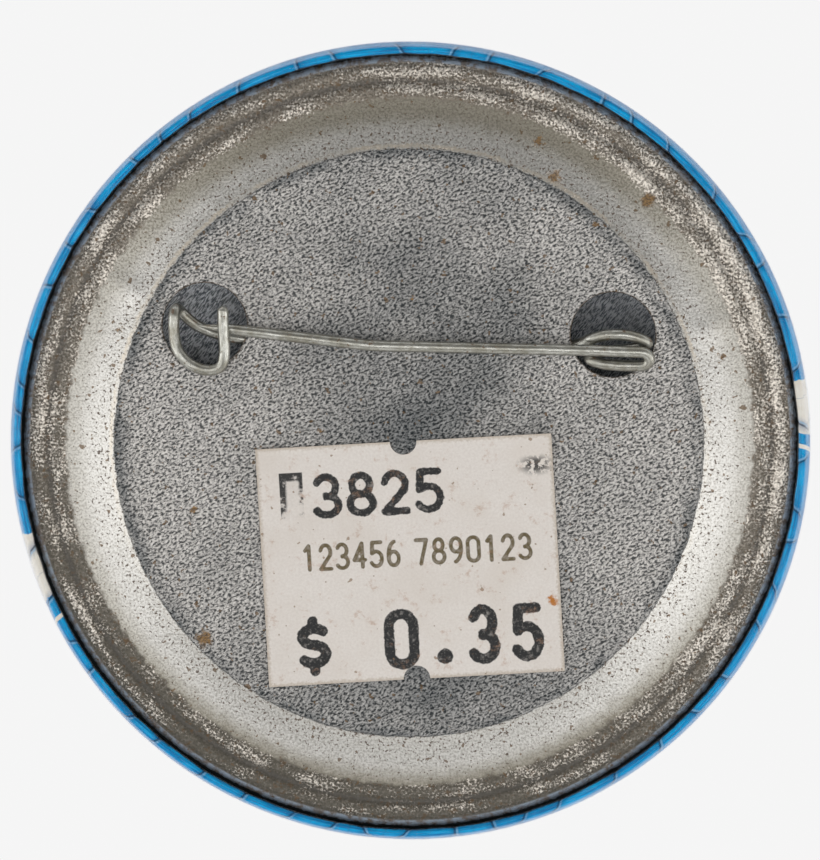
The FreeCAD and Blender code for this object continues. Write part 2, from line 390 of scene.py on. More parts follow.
def skin_profile(depth, tuck):
    """Section points of one surface, the way it faces, and how far along the folded rim it is."""
    pairs = [((r, depth), (0.0, -1.0)) for r in (0.25, 1.5, 3.0, 4.2)]
    crown = np.array([CROWN_RADIUS, DOME_RADIUS])
    for a in np.linspace(0, DOME_TILT, 14):
        out = np.array([math.sin(a), -math.cos(a)])
        pairs.append((crown + out * (DOME_RADIUS - depth), out))
    for a in np.linspace(DOME_TILT - math.pi / 2, WALL_LEAN, 12)[1:]:
        out = heading(a)
        pairs.append((SHOULDER + out * (SHOULDER_RADIUS - depth), out))
    for _ in range(3):
        pairs.append((pairs[-1][0] + UPWARD * WALL_RUN / 4, OUTWARD))
    for a in np.linspace(WALL_LEAN, WALL_LEAN + math.pi, 15):
        out = heading(a)
        pairs.append((FOLD + out * (FOLD_RADIUS - depth), out))
    fold_end = pairs[-1][0]
    for t in np.linspace(0, 1, 5)[1:]:
        pairs.append((fold_end - UPWARD * tuck * t, -OUTWARD))
    points, facing = (np.array(column) for column in zip(*pairs))
    return points, facing, points[0, 0] + way_along(points)


FOLD_RUN = 31.1      # distance from the badge's centre, over the skin, at which the fold begins


class RimShape:
    """Creases and waves of the folded rim, the same for film and paper."""

    def __init__(self):
        rng = np.random.default_rng(SEED + 1)
        self.angles = np.arange(RIM_AROUND) * TAU / RIM_AROUND
        at = []
        angle = 0.0
        while angle < TAU - math.radians(4.0):
            at.append(angle)
            angle += math.radians(rng.uniform(4.2, 9.8))
        self.at = np.array(at) + math.radians(2.6)
        self.slant = rng.uniform(-0.55, 0.75, len(at))      # mm sideways for each mm of skin
        self.deep = rng.uniform(0.020, 0.060, len(at))
        self.wide = rng.uniform(0.10, 0.20, len(at))
        self.wave = ring_noise(self.angles, 25, 90, rng)
        self.tuck_wave = ring_noise(self.angles, 30, 200, rng)

    def crease_gap(self, run):
        """Distance round the rim to the nearest crease, its depth and its width, for each angle."""
        shift = self.slant * (run - FOLD_RUN) / BADGE_RADIUS
        gap = self.angles[:, None] - self.at[None, :] - shift[None, :]
        gap = ((gap + math.pi) % TAU - math.pi) * BADGE_RADIUS
        nearest = np.abs(gap).argmin(1)
        pick = np.arange(len(self.angles))
        return gap[pick, nearest], self.deep[nearest], self.wide[nearest]

    def sink(self, run, side):
        """How far the skin lies under its full size there; side is 0 on the wall, 1 in the tuck."""
        gap, deep, wide = self.crease_gap(run)
        on_rim = float(smoothstep(run, FOLD_RUN - 1.6, FOLD_RUN - 0.1))
        groove = deep * np.exp(-((gap / wide) ** 2))
        pillow = 0.016 * np.exp(-np.abs(gap) / 0.9)
        inner = -0.085 * (0.6 + 0.4 * self.wave) * side
        return on_rim * (groove + pillow) + inner


def skin_surface(shape, depth, tuck, tuck_swing):
    """Rings of one surface of a skin, each with its run and its points' distance to a crease."""
    points, facing, run = skin_profile(depth, tuck)
    rows = []
    for (r, z), (nr, nz), s in zip(points, facing, run):
        sink = shape.sink(s, float(smoothstep(s, FOLD_RUN + 0.35, FOLD_RUN + 0.75)))
        slide = float(smoothstep(s, run[-1] - 0.30, run[-1])) * tuck_swing * shape.tuck_wave
        ring = ring_points(r - nr * sink - UPWARD[0] * slide, shape.angles,
                           z - nz * sink - UPWARD[1] * slide)
        rows.append((ring, np.full(RIM_AROUND, s), shape.crease_gap(s)[0]))
    return rows


def skin_object(name, shape, outside, inside_depth, tuck, swing, slot, node):
    """A folded skin as one closed mesh: outer surface, end of the tuck, inner surface."""
    rows = skin_surface(shape, outside, tuck, swing)
    rows += skin_surface(shape, inside_depth, tuck, swing)[::-1]
    rings, runs, gaps = (list(column) for column in zip(*rows))
    points, faces = closed_by_points(rings, outside, inside_depth)
    obj = make_object(name, points, faces, "badge", sharp=60)
    run = np.concatenate(runs + [np.zeros(2)])
    angle = np.arctan2(points[:, 1], points[:, 0])
    put(obj, print_x=run * np.cos(angle), print_y=run * np.sin(angle), skin_run=run,
        crease_mm=np.concatenate(gaps + [np.full(2, 5.0)]))
    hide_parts(node)
    return obj


def shell_object():
    """The tin cup inside the folded skins, its edge hidden in the fold."""
    around = 360
    angles = np.arange(around) * TAU / around
    outer, _, run = skin_profile(SHELL_OUTSIDE, 0.0)
    inner, _, _ = skin_profile(SHELL_INSIDE, 0.0)
    on_wall = run < FOLD_RUN - 0.1
    outer, inner = outer[on_wall], inner[on_wall]
    rings = [ring_points(r, angles, z) for r, z in np.concatenate([outer, inner[::-1]])]
    points, faces = closed_by_points(rings, outer[0][1], inner[0][1])
    obj = make_object("tin_shell", points, faces, "badge")
    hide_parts("front_shell")
    return obj


# ---- bent wire ----

WIRE_SIDES = 28
WIRE_STEP = 0.09


def rounded_path(route, radii=None):
    """Even points along straight runs joined by eased tangent bends, and the wire's radius there.

    radii holds some bends' radii by number; the others are as wide as they can be."""
    radii = radii or {}
    route = [np.array(p, float) for p in route]
    points = [route[0]]
    for i in range(1, len(route) - 1):
        before, after = route[i] - route[i - 1], route[i + 1] - route[i]
        d1, d2 = unit(before), unit(after)
        turn = math.acos(float(np.clip(d1 @ d2, -1, 1)))
        longest = 0.45 * min(np.linalg.norm(before), np.linalg.norm(after))
        bend = radii.get(i, longest / math.tan(turn / 2))
        reach = bend * math.tan(turn / 2)
        axis = unit(np.cross(d1, d2))
        to_centre = np.cross(axis, d1) * bend
        centre = route[i] - d1 * reach + to_centre
        for t in np.linspace(0, turn, 9):
            across = np.cross(axis, to_centre)
            points.append(centre - to_centre * math.cos(t) - across * math.sin(t))
    points.append(route[-1])
    points = np.array(points)
    along = way_along(points)
    even = np.linspace(0, along[-1], int(along[-1] / WIRE_STEP) + 1)
    path = np.stack([np.interp(even, along, points[:, c]) for c in range(3)], -1)
    for _ in range(6):
        path[1:-1] = 0.25 * path[:-2] + 0.5 * path[1:-1] + 0.25 * path[2:]
    return path, np.full(len(path), WIRE_RADIUS)


def rounded_end(path, radii, steps=7):
    """Adds a half ball after the path's last point."""
    direction = unit(path[-1] - path[-2])
    angles = np.linspace(0, math.pi / 2, steps + 1)[1:]
    angles[-1] = math.radians(87)
    ball = path[-1] + np.sin(angles)[:, None] * direction * radii[-1]
    return np.concatenate([path, ball]), np.concatenate([radii, np.cos(angles) * radii[-1]])


def tube(name, path, radii, body, start_mm, seed):
    """A round wire along the path. start_mm is how far along the whole pin it begins."""
    rng = np.random.default_rng(seed)
    tangents = np.gradient(path, axis=0)
    tangents /= np.linalg.norm(tangents, axis=1)[:, None]
    side = unit(np.cross(tangents[0], [0.0, 0.0, 1.0]))
    angles = np.arange(WIRE_SIDES) * TAU / WIRE_SIDES
    along = way_along(path)
    swell = 1 + 0.010 * ring_noise(along / along[-1] * TAU, 3, 40, rng)
    rings = []
    for centre, tangent, radius, share in zip(path, tangents, radii, swell):
        side = unit(side - tangent * (side @ tangent))
        up = np.cross(tangent, side)
        around = np.cos(angles)[:, None] * side + np.sin(angles)[:, None] * up
        rings.append(centre + around * radius * min(share, 1.0))
    points = np.concatenate(rings)
    end = np.arange(WIRE_SIDES)[None, :]
    faces = [ring_quads(len(path), WIRE_SIDES), end, end + len(points) - WIRE_SIDES]
    obj = make_object(name, points, faces, body)
    put(obj, along=np.repeat(along + start_mm, WIRE_SIDES),
        ring_x=np.tile(np.cos(angles), len(path)), ring_y=np.tile(np.sin(angles), len(path)))
    return obj


def pin_pieces():
    """The pin's bar, hook, coil and arm, one wire from end to end."""
    bar = tube("pin_bar", *rounded_path(BAR_ROUTE, {1: 60.0}), "badge", 40.0, SEED + 2)
    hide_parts("base_bar")

    hook_wire = rounded_end(*rounded_path(HOOK_ROUTE))
    hook = tube("pin_hook", *hook_wire, "badge", 0.0, SEED + 3)
    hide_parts("catch_hook")

    coil_path, coil_radii = rounded_path(COIL_ROUTE)
    coil_radii[-4:] = WIRE_RADIUS * np.array([0.999, 0.995, 0.990, 0.985])
    coil = tube("pin_coil", coil_path, coil_radii, "badge", 80.0, SEED + 4)
    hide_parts("spring_coil")

    coil_end, before_it = np.array(COIL_ROUTE[-1]), np.array(COIL_ROUTE[-2])
    root = coil_end + 0.5 * unit(before_it - coil_end)
    arm_path, _ = rounded_path([tuple(root)] + [HINGE_POINT] + ARM_ROUTE[1:], {2: 18.0})
    to_tip = np.linalg.norm(arm_path - arm_path[-1], axis=1)
    taper = np.clip(1 - to_tip / POINT_LENGTH, 0, 1) ** 1.75
    arm_radii = WIRE_RADIUS * (1 - (1 - POINT_END_RADIUS / WIRE_RADIUS) * taper)
    arm_radii[:6] = WIRE_RADIUS * np.linspace(0.95, 1.0, 6)
    arm_path, arm_radii = rounded_end(arm_path, arm_radii, 4)
    arm = tube("pin_needle", arm_path, arm_radii, None, 110.0, SEED + 5)
    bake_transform(arm)
    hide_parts("pin_arm")
    return [bar, hook, coil, arm]


# ---- price label ----

def bow(cx, cy, rx, ry, start, end, count=14):
    a = np.radians(np.linspace(start, end, count))
    return [(cx + rx * math.cos(t), cy + ry * math.sin(t)) for t in a]


# strokes of plain digits in a box 1 wide and 1 high
DIGITS = {
    "0": [bow(0.5, 0.76, 0.5, 0.24, 0, 180) + bow(0.5, 0.24, 0.5, 0.24, 180, 360) + [(1.0, 0.76)]],
    "1": [[(0.20, 0.80), (0.55, 1.0), (0.55, 0.0)]],
    "2": [bow(0.5, 0.70, 0.46, 0.30, 165, -25) + [(0.02, 0.0), (0.98, 0.0)]],
    "3": [bow(0.46, 0.74, 0.44, 0.26, 155, -90), bow(0.46, 0.25, 0.52, 0.25, 90, -150)],
    "4": [[(0.75, 0.0), (0.75, 1.0), (0.0, 0.30), (1.0, 0.30)]],
    "5": [[(0.92, 1.0), (0.14, 1.0), (0.08, 0.54)] + bow(0.46, 0.31, 0.52, 0.31, 120, -150)],
    "6": [bow(0.5, 0.29, 0.46, 0.29, 90, 450, 24), bow(0.72, 0.42, 0.68, 0.58, 100, 190)],
    "7": [[(0.02, 1.0), (0.98, 1.0), (0.40, 0.0)]],
    "8": [bow(0.5, 0.75, 0.40, 0.25, 90, 450, 22), bow(0.5, 0.26, 0.50, 0.26, 90, 450, 24)],
    "9": [bow(0.5, 0.71, 0.46, 0.29, 90, 450, 24), bow(0.28, 0.58, 0.68, 0.58, 10, -80)],
    ".": [[(0.45, 0.0), (0.55, 0.0)]],
    "$": [bow(0.52, 0.70, 0.42, 0.18, 40, 270) + bow(0.48, 0.32, 0.44, 0.20, 90, -140),
          [(0.50, 1.04), (0.50, 0.90)], [(0.50, 0.12), (0.50, -0.04)]],
}
# text, middle of the first character, its width and height, pitch, half the stroke
BLACK_PRINTS = [
    ("3825", (-5.62, 4.90), (1.62, 2.70), 2.42, 0.26),
    ("$", (-7.20, -5.75), (2.00, 3.25), 0.0, 0.37),
    ("0", (-0.93, -5.60), (1.75, 3.60), 0.0, 0.36),
    (".", (2.10, -6.95), (0.10, 0.10), 0.0, 0.55),
    ("3", (4.95, -5.55), (1.60, 3.55), 0.0, 0.36),
    ("5", (8.05, -5.58), (1.65, 3.45), 0.0, 0.36),
]
BROWN_PRINTS = [
    ("123456", (-7.20, 0.55), (0.78, 1.70), 1.21, 0.130),
    ("7890123", (0.85, 0.55), (0.78, 1.70), 1.23, 0.130),
]
NO_INK = 3.0             # a distance from ink that stands for none near


def ink_distance(points, prints):
    """Distance from the edge of the printed strokes, below 0 inside them."""
    nearest = np.full(len(points), NO_INK)
    for text, (x0, y0), (width, height), pitch, half in prints:
        for n, digit in enumerate(text):
            corner = np.array([x0 + n * pitch - width / 2, y0 - height / 2])
            middle = corner + (width / 2, height / 2)
            near = np.abs(points - middle).max(1) < max(width, height) / 2 + 1.0
            local = points[near]
            best = nearest[near]
            for stroke in DIGITS[digit]:
                line = np.array(stroke) * (width, height) + corner
                for a, b in zip(line[:-1], line[1:]):
                    along = np.clip(((local - a) @ (b - a)) / ((b - a) @ (b - a)), 0, 1)
                    gap = np.linalg.norm(local - a - along[:, None] * (b - a), axis=1) - half
                    best = np.minimum(best, gap)
            nearest[near] = best
    return nearest


def label_outline():
    """The label's cut edge about its own middle, corner to corner, with two half-round notches."""
    w, h = LABEL_SIZE[0] / 2, LABEL_SIZE[1] / 2
    step = 0.13
    across = np.arange(NOTCH_RADIUS + step, w - step / 2, step)
    up = np.linspace(-h, h, int(2 * h / step))
    notch = np.linspace(math.pi, 0, 22)
    top = [(x, h) for x in across[::-1]]
    top += [(-NOTCH_RADIUS * math.cos(a), h - NOTCH_RADIUS * math.sin(a)) for a in notch]
    top += [(-x, h) for x in across]
    left = [(-w, y) for y in up[::-1]]
    right = [(w, y) for y in up]
    bottom = [(-x, -y) for x, y in top]
    return np.array(top + left + bottom + right)


def price_label():
    rng = np.random.default_rng(SEED + 6)
    outline = label_outline()
    wobble = ring_noise(np.arange(len(outline)) * TAU / len(outline), 40, 160, rng)
    outline = outline * (1 - 0.0016 * (0.5 + 0.5 * wobble))[:, None]
    flat, triangles = flat_region([outline], LABEL_MESH)
    n = len(flat)
    w, h = LABEL_SIZE[0] / 2, LABEL_SIZE[1] / 2
    out_x, out_y = np.abs(flat).T
    corner = smoothstep(out_x / w + out_y / h, 1.45, 2.0)
    corner *= 1 + 0.5 * np.sign(flat[:, 0] * flat[:, 1])
    ripple = noise_field(30.0, 256, 3.0, 14.0, SEED + 7)
    lift = 0.16 * corner + 0.008 * sampled(ripple, 30.0, flat[:, 0], flat[:, 1])
    edge_gap = np.minimum(w - out_x, h - out_y)
    lift += 0.02 * (1 - smoothstep(edge_gap, 0.0, 0.5))
    c, s = heading(LABEL_TURN)
    spot = flat @ np.array([[c, s], [-s, c]]) + LABEL_CENTRE
    upper = np.column_stack([spot, LABEL_TOP + lift])
    lower = np.column_stack([spot, LABEL_BOTTOM + np.maximum(lift, 0)])
    faces = [triangles, triangles + n, strip(0, n, len(outline))]
    obj = make_object("paper_label", np.concatenate([upper, lower]), faces, "badge")
    both = np.concatenate([flat, flat])
    black, brown = (ink_distance(both, prints) for prints in (BLACK_PRINTS, BROWN_PRINTS))
    black[n:] = brown[n:] = NO_INK
    put(obj, ink_black=black, ink_brown=brown, label_x=both[:, 0], label_y=both[:, 1],
        edge_mm=np.concatenate([edge_gap, edge_gap]))
    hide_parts("price_label")
    return obj


# ---- materials ----

class Graph:
    """A material's nodes, built with short calls. Numbers go on sockets and sockets are linked."""

    def __init__(self, name, kind=bpy.data.materials):
        self.material = kind.new(name)
        self.material.use_nodes = True
        tree = self.material.node_tree
        self.nodes, self.links = tree.nodes, tree.links
        self.nodes.clear()

    def give(self, value, socket):
        if isinstance(value, bpy.types.NodeSocket):
            self.links.new(value, socket)
        elif isinstance(value, tuple) and socket.type == "RGBA":
            socket.default_value = (*value, 1.0)
        else:
            socket.default_value = value

    def add(self, kind, inputs=None, **settings):
        node = self.nodes.new("ShaderNode" + kind)
        for key, value in settings.items():
            setattr(node, key, value)
        for key, value in (inputs or {}).items():
            self.give(value, node.inputs[key])
        return node

    def math(self, operation, a, b=0.0, c=0.0):
        return self.add("Math", {0: a, 1: b, 2: c}, operation=operation).outputs[0]

    def joined(self, operation, values):
        total = values[0]
        for value in values[1:]:
            total = self.math(operation, total, value)
        return total

    def times(self, *values):
        return self.joined("MULTIPLY", values)

    def plus(self, *values):
        return self.joined("ADD", values)

    def minus(self, a, b):
        return self.math("SUBTRACT", a, b)

    def size(self, value):
        return self.math("ABSOLUTE", value)

    def most(self, *values):
        return self.joined("MAXIMUM", values)

    def less(self, value):
        """One minus the value."""
        return self.minus(1.0, value)

    def swing(self, noise, reach):
        """The noise less its middle value, times reach."""
        return self.times(self.minus(noise, 0.5), reach)

    def smooth(self, value, low, high, to_low=0.0, to_high=1.0):
        inputs = {0: value, 1: low, 2: high, 3: to_low, 4: to_high}
        return self.add("MapRange", inputs, interpolation_type="SMOOTHSTEP").outputs[0]

    def band(self, value, middle, half, soft):
        """1 within half of the middle, 0 further out than soft more."""
        away = self.size(self.minus(value, middle))
        return self.less(self.smooth(away, half, half + soft))

    def read(self, *names):
        """The numbers that put() keeps on the mesh."""
        return [self.add("Attribute", attribute_name=name).outputs["Fac"] for name in names]

    def point(self, x, y, z=0.0):
        return self.add("CombineXYZ", {0: x, 1: y, 2: z}).outputs[0]

    def parts(self, vector):
        return self.add("SeparateXYZ", {0: vector}).outputs

    def scaled(self, vector, scale):
        return self.add("VectorMath", {0: vector, "Scale": scale}, operation="SCALE").outputs[0]

    def length(self, vector):
        return self.add("VectorMath", {0: vector}, operation="LENGTH").outputs["Value"]

    def distance(self, vector, x, y):
        inputs = {0: vector, 1: (x, y, 0.0)}
        return self.add("VectorMath", inputs, operation="DISTANCE").outputs["Value"]

    def place(self):
        """The point in millimetres, in the badge's frame."""
        return self.scaled(self.add("TexCoord").outputs["Object"], 1 / MM)

    def stretched(self, vector, turn_deg, scale):
        """The place turned about Z and then scaled, so that noise there runs one way."""
        turned = self.add("VectorRotate", {"Vector": vector, "Angle": math.radians(turn_deg)},
                          rotation_type="Z_AXIS").outputs[0]
        return self.add("VectorMath", {0: turned, 1: scale}, operation="MULTIPLY").outputs[0]

    def round_badge(self, flat, out, along, across):
        """A place for noise that runs round the badge, with its grain that way and outwards."""
        outward = self.add("VectorMath", {0: flat}, operation="NORMALIZE").outputs[0]
        x, y, _ = self.parts(self.scaled(outward, along))
        return self.point(x, y, self.times(out, across))

    def moved(self, vector, x, y):
        return self.add("VectorMath", {0: vector, 1: (x, y, 0.0)}, operation="ADD").outputs[0]

    def noise(self, vector, scale, detail=2.0, rough=0.5, distortion=0.0):
        inputs = {"Vector": vector, "Scale": scale, "Detail": detail, "Roughness": rough,
                  "Distortion": distortion}
        return self.add("TexNoise", inputs).outputs[0]

    def mix(self, share, a, b):
        return self.add("Mix", {0: share, 6: a, 7: b}, data_type="RGBA").outputs[2]

    def coated(self, colour, *coats):
        """The colour under coats, each a share and a colour, the last one on top."""
        for share, coat in coats:
            colour = self.mix(share, colour, coat)
        return colour

    def either(self, share, a, b):
        """A number that goes from a to b with the share."""
        return self.add("Mix", {0: share, 2: a, 3: b}).outputs[0]

    def bump(self, height_mm, strength):
        inputs = {"Height": height_mm, "Distance": MM, "Strength": strength}
        return self.add("Bump", inputs).outputs[0]

    def finish(self, shader):
        self.add("OutputMaterial", {"Surface": shader.outputs[0]})
        return self.material

    def surface(self, colour, rough, **others):
        """Ends the material with one plain shader; an underscore stands for a socket's space."""
        inputs = {"Base Color": colour, "Roughness": rough}
        inputs.update({key.replace("_", " "): value for key, value in others.items()})
        return self.finish(self.add("BsdfPrincipled", inputs))


RUST_SPOTS = [          # x, y, radius
    (16.9, 17.3, 0.62), (10.3, 19.0, 0.55), (-14.55, -14.0, 0.70), (-6.3, 1.0, 0.24),
    (-15.3, -4.8, 0.28), (22.2, 6.2, 0.30), (9.2, 21.4, 0.40), (13.2, 15.6, 0.22),
    (0.2, 10.3, 0.20), (-20.6, 8.0, 0.30),
]


def plate_material():
    g = Graph("tin_plate")
    x, y, _ = g.parts(g.place())
    flat = g.point(x, y)
    r = g.length(flat)

    rag = g.noise(flat, 1.5, 6.0, 0.68)
    patch = g.noise(g.round_badge(flat, r, 7.5, 0.85), 1.0, 6.0, 0.66)
    grain = g.stretched(flat, -27, (0.92, 1.36, 1.0))
    worm = g.noise(grain, 4.7, 1.6, 0.50, 0.35)
    worm_fine = g.noise(g.moved(flat, 17.0, -8.0), 6.0, 2.4, 0.60, 0.20)
    speck = g.noise(g.moved(flat, 31.0, 7.0), 2.3, 2.5, 0.55)
    prick = g.noise(g.moved(flat, -23.0, 61.0), 4.4, 2.0, 0.50)
    shade_wobble = g.noise(g.moved(flat, -9.0, 44.0), 0.16, 3.0, 0.5)

    ragged = g.plus(r, g.swing(rag, 1.3), g.swing(worm_fine, 0.8))
    slightly = g.plus(r, g.swing(rag, 0.42))
    disc = g.less(g.smooth(slightly, 20.90, 21.02))
    flange = g.smooth(ragged, 24.35, 24.65)

    # middle disc: worm-like cream relief over slate, with painted shade darkening the middle; also
    # darker towards the bottom and at its border
    ridge = g.smooth(g.plus(worm, g.swing(prick, 0.35)), 0.32, 0.63)
    middle = g.length(g.stretched(g.moved(flat, -1.0, 1.0), 0, (1.0, 0.38, 1.0)))
    disc_shade_and_edge = g.plus(g.smooth(g.plus(middle, g.swing(shade_wobble, 22.0)), -5.0, 18.0, 1.0, 0.0),
                   g.smooth(y, -19.0, -6.0, 0.26, 0.0))
    border = g.times(g.smooth(ragged, 19.4, 20.9), g.smooth(patch, 0.36, 0.60, 0.25, 0.95))
    disc_shade_and_edge = g.most(disc_shade_and_edge, border)
    # cream ridges and slate gaps: tin colour with a painted highlight on the ridges and painted
    # shade in the gaps, besides the bump relief
    cream = g.mix(disc_shade_and_edge, (0.61, 0.585, 0.555), (0.205, 0.210, 0.210))
    slate = g.mix(disc_shade_and_edge, (0.078, 0.080, 0.080), (0.018, 0.023, 0.026))
    disc_colour = g.mix(ridge, slate, cream)

    # bevel: bright tin, an olive film outwards that painted shade darkens towards the top and
    # bottom, dark pits that crowd inwards
    film_and_shade = g.smooth(g.plus(ragged, g.times(y, 0.022)), 22.4, 24.3)
    tin = g.mix(g.smooth(worm_fine, 0.34, 0.60), (0.46, 0.44, 0.405), (0.72, 0.705, 0.67))
    olive = g.mix(g.smooth(worm_fine, 0.36, 0.62), (0.23, 0.210, 0.165), (0.50, 0.470, 0.400))
    inward = g.smooth(r, 20.9, 24.4, 0.600, 0.670)
    pits = g.smooth(g.minus(g.most(prick, g.minus(speck, 0.05)), inward), 0.0, 0.02)
    frayed = g.plus(slightly, g.swing(worm_fine, 0.5))
    # a cream line along the plateau's rounded edge, stronger towards the top: worn shoulder with a
    # painted highlight
    cream_line = g.times(g.band(frayed, 21.20, 0.05, 0.14), g.smooth(patch, 0.36, 0.58),
                         g.smooth(y, -10.0, 6.0, 0.12, 1.0))
    bevel_colour = g.coated(
        tin,
        # painted shade: the olive film and a dark brown coat deepen towards the top and bottom
        (g.times(film_and_shade, g.smooth(g.size(y), 4.0, 22.0, 0.45, 1.0)), olive),
        (g.times(film_and_shade, g.smooth(g.size(y), 12.0, 23.0, 0.0, 0.6)), (0.19, 0.172, 0.135)),
        (g.times(pits, 0.9), (0.095, 0.062, 0.040)),
        (g.times(cream_line, 0.85), (0.70, 0.63, 0.53)))

    # flange: brown oxide, mottled, with thin cream speckle where it is worn on the beads
    on_ridges = g.most(g.band(r, 26.45, 0.20, 0.50), g.band(r, 25.05, 0.35, 0.40))
    lower_side = g.smooth(g.math("MULTIPLY_ADD", y, -0.6, g.times(x, -0.25)), -6.0, 20.0)
    bare = g.plus(patch, g.times(on_ridges, 0.11), g.times(lower_side, -0.11),
                  g.smooth(y, 16.0, 25.0, 0.0, -0.090),
                  g.smooth(g.plus(x, y), 22.0, 36.0, 0.0, 0.080))
    worm_share = g.smooth(g.plus(worm_fine, g.times(g.minus(bare, 0.562), 0.75)), 0.475, 0.580)
    in_patches = g.smooth(g.plus(bare, g.times(rag, 0.45)), 0.65, 0.77, 0.10, 1.0)
    worm_share = g.times(worm_share, in_patches)
    brown = g.smooth(g.plus(g.times(speck, 0.6), g.times(rag, 0.4)), 0.555, 0.60)
    worn = g.mix(g.smooth(prick, 0.38, 0.62), (0.38, 0.345, 0.30), (0.84, 0.78, 0.70))
    # the margin by the fold: brown oxide mottled with a bluish tint, a painted reflection of the
    # blue rim
    margin_oxide_and_reflection = g.mix(g.smooth(rag, 0.42, 0.60), (0.34, 0.40, 0.47), (0.20, 0.17, 0.15))
    # painted shadow: near-black where the plate runs into the gap under the fold
    gap = g.smooth(slightly, 27.44, 27.54)
    flange_colour = g.coated(
        g.mix(g.smooth(rag, 0.35, 0.66), (0.170, 0.148, 0.118), (0.260, 0.226, 0.182)),
        (g.smooth(worm_fine, 0.36, 0.54, 0.75, 0.0), (0.060, 0.050, 0.038)),
        (g.smooth(prick, 0.52, 0.64, 0.0, 0.60), (0.42, 0.385, 0.335)),
        (g.times(lower_side, 0.66), (0.070, 0.065, 0.050)),
        (g.times(g.band(r, 25.76, 0.06, 0.24), 0.55), (0.075, 0.070, 0.064)),
        (g.times(brown, 0.65), (0.120, 0.072, 0.034)),
        (worm_share, worn),
        (g.smooth(r, 27.00, 27.16), margin_oxide_and_reflection),
        (gap, (0.010, 0.016, 0.016)))

    colour = g.coated(bevel_colour, (disc, disc_colour), (flange, flange_colour))

    # brown stain on the punched edges, and rust blooms
    for wx, wy in WINDOWS:
        away = g.distance(flat, wx, wy)
        stain = g.times(g.less(g.smooth(away, 3.02, 3.16)), g.smooth(rag, 0.38, 0.58, 0.25, 0.90))
        colour = g.mix(stain, colour, (0.090, 0.062, 0.038))
    wander = g.swing(g.noise(flat, 2.2, 6.0, 0.7), 1.7)
    specks = g.smooth(g.noise(g.moved(flat, 3.0, 90.0), 1.7, 2.5, 0.5), 0.665, 0.685)
    colour = g.mix(g.times(specks, 0.80), colour, (0.150, 0.095, 0.050))
    spots = []
    for sx, sy, size in RUST_SPOTS:
        away = g.plus(g.distance(flat, sx, sy), wander)
        spots.append(g.less(g.smooth(away, 0.45 * size, size)))
    rust = g.most(*spots)
    rusty = g.mix(g.smooth(worm_fine, 0.36, 0.62), (0.095, 0.055, 0.026), (0.27, 0.145, 0.036))
    colour = g.mix(g.times(rust, 0.88), colour, rusty)

    dirt = g.most(rust, g.times(pits, g.less(disc)), g.times(flange, g.less(worm_share)), gap)
    metallic = g.smooth(dirt, 0.0, 1.0, 0.88, 0.35)
    rough_rest = g.plus(g.times(dirt, 0.14), g.times(film_and_shade, 0.10),
                        g.smooth(worm_fine, 0.3, 0.7, 0.32, 0.42))
    rough = g.either(disc, rough_rest, g.smooth(worm, 0.35, 0.65, 0.44, 0.34))

    relief_disc = g.plus(g.times(worm, 0.160), g.times(prick, 0.05))
    relief_rest = g.plus(g.times(worm_fine, 0.030), g.times(worm_share, flange, 0.020))
    relief = g.plus(g.either(disc, relief_rest, relief_disc),
                    g.times(dirt, g.less(disc), -0.012))
    return g.surface(colour, rough, Metallic=metallic, Normal=g.bump(relief, 0.9))


def shell_material():
    """Bare steel inside the shell, with fine slanting grain."""
    g = Graph("shell_steel")
    p = g.place()
    lines = g.noise(g.stretched(p, -50, (0.9, 3.4, 1.0)), 3.2, 2.5, 0.60)
    cloud = g.noise(p, 0.5, 3.0, 0.5)
    # darker round a spot near the coil, seen through the right window
    darker_spot = g.smooth(g.distance(p, 15.5, 8.5), 1.0, 6.0, 0.55, 0.0)
    colour = g.coated(
        g.mix(g.smooth(lines, 0.42, 0.58), (0.13, 0.150, 0.172), (0.80, 0.82, 0.85)),
        (g.smooth(cloud, 0.40, 0.75, 0.0, 0.25), (0.36, 0.35, 0.32)),
        (darker_spot, (0.10, 0.11, 0.12)))
    rough = g.smooth(lines, 0.3, 0.7, 0.60, 0.45)
    return g.surface(colour, rough, Metallic=0.35, Normal=g.bump(g.times(lines, 0.03), 0.8))


